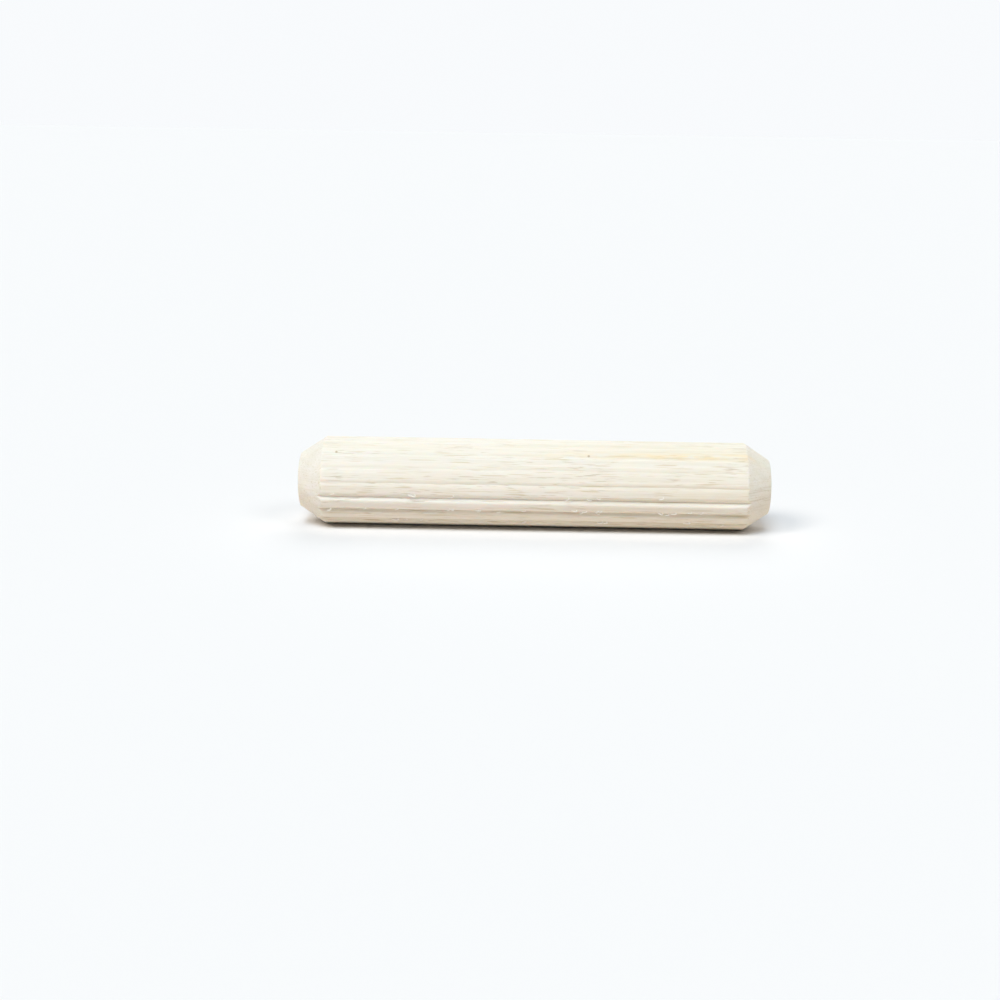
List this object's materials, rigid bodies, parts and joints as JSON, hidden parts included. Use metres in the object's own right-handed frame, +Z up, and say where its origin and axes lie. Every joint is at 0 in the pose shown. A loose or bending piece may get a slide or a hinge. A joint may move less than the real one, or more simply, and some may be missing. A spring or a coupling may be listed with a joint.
{
  "type": "dowel pin",
  "caption": "Short straight wooden rod with even grooves along its whole length and a plain cone-shaped chamfer at each end, for gluing into holes that join two boards.",
  "frame": {"origin": "centre of the pin's length and width, on the surface that the pin lies on", "axes": "+X along the pin, +Z up from the surface that it lies on, +Y across the pin"},
  "size_m": [0.0508, 0.0096, 0.0095],
  "materials": {
    "wood": "bare, pale, planed across the flutes, not varnished"
  },
  "bodies": {
    "root": {"dowel_pin": "wood"}
  },
  "joints": []
}
